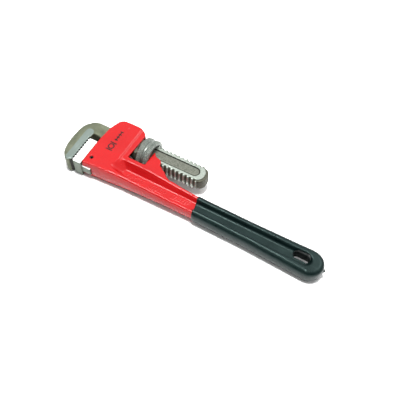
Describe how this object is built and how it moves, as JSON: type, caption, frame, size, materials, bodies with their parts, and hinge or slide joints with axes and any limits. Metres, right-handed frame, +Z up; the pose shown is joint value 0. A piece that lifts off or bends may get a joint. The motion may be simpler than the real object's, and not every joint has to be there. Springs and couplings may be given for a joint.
{
  "type": "pipe wrench",
  "caption": "Adjustable pipe wrench with a toothed hook jaw and heel jaw, a knurled adjusting nut and a dipped grip on an I-beam handle.",
  "frame": {"origin": "bottom centre of the wrench's bounding box with the jaws closed: z = 0 is the lowest point of the knurled nut", "axes": "+X from the jaws along the shank to the tail of the handle, +Y across the wrench from the handle towards the shank, +Z up, square to the flat sides"},
  "size_m": [0.338, 0.0829, 0.039],
  "materials": {
    "red_paint": "glossy red paint over a cast surface",
    "grip_pvc": "dipped, softly glossy, green-black",
    "ground_steel": "bright, ground flat",
    "forged_steel": "grey forging with ground teeth",
    "nut_steel": "knurled, phosphated grey",
    "spring_steel": "blued spring steel",
    "pin_steel": "bright drawn steel"
  },
  "bodies": {
    "handle": {"handle": "red_paint", "grip": "grip_pvc", "heel_jaw": "ground_steel", "heel_pin": "pin_steel", "coil_spring": "spring_steel", "spring_rivet": "pin_steel"},
    "jaw_rocker": {"leaf_spring": "spring_steel"},
    "hook_jaw": {"hook_jaw": "forged_steel"},
    "nut": {"nut": "nut_steel"}
  },
  "joints": [
    {"name": "jaw_rock", "type": "hinge", "parent": "handle", "child": "jaw_rocker", "pos_m": [-0.0765, 0.01855, 0.0195], "axis": [0, 0, 1], "range_deg": [-2, 0], "stiffness_Nm_per_rad": 4},
    {"name": "jaw_slide", "type": "slide", "parent": "jaw_rocker", "child": "hook_jaw", "axis": [-1, 0, 0], "range_m": [0, 0.05]},
    {"name": "nut_spin", "type": "hinge", "parent": "jaw_rocker", "child": "nut", "pos_m": [-0.0765, 0.01855, 0.0195], "axis": [1, 0, 0], "range_deg": [0, 3215]}
  ],
  "couplings": [
    {"joint": "nut_spin", "follows": "jaw_slide", "rad_per_m": 1122}
  ]
}
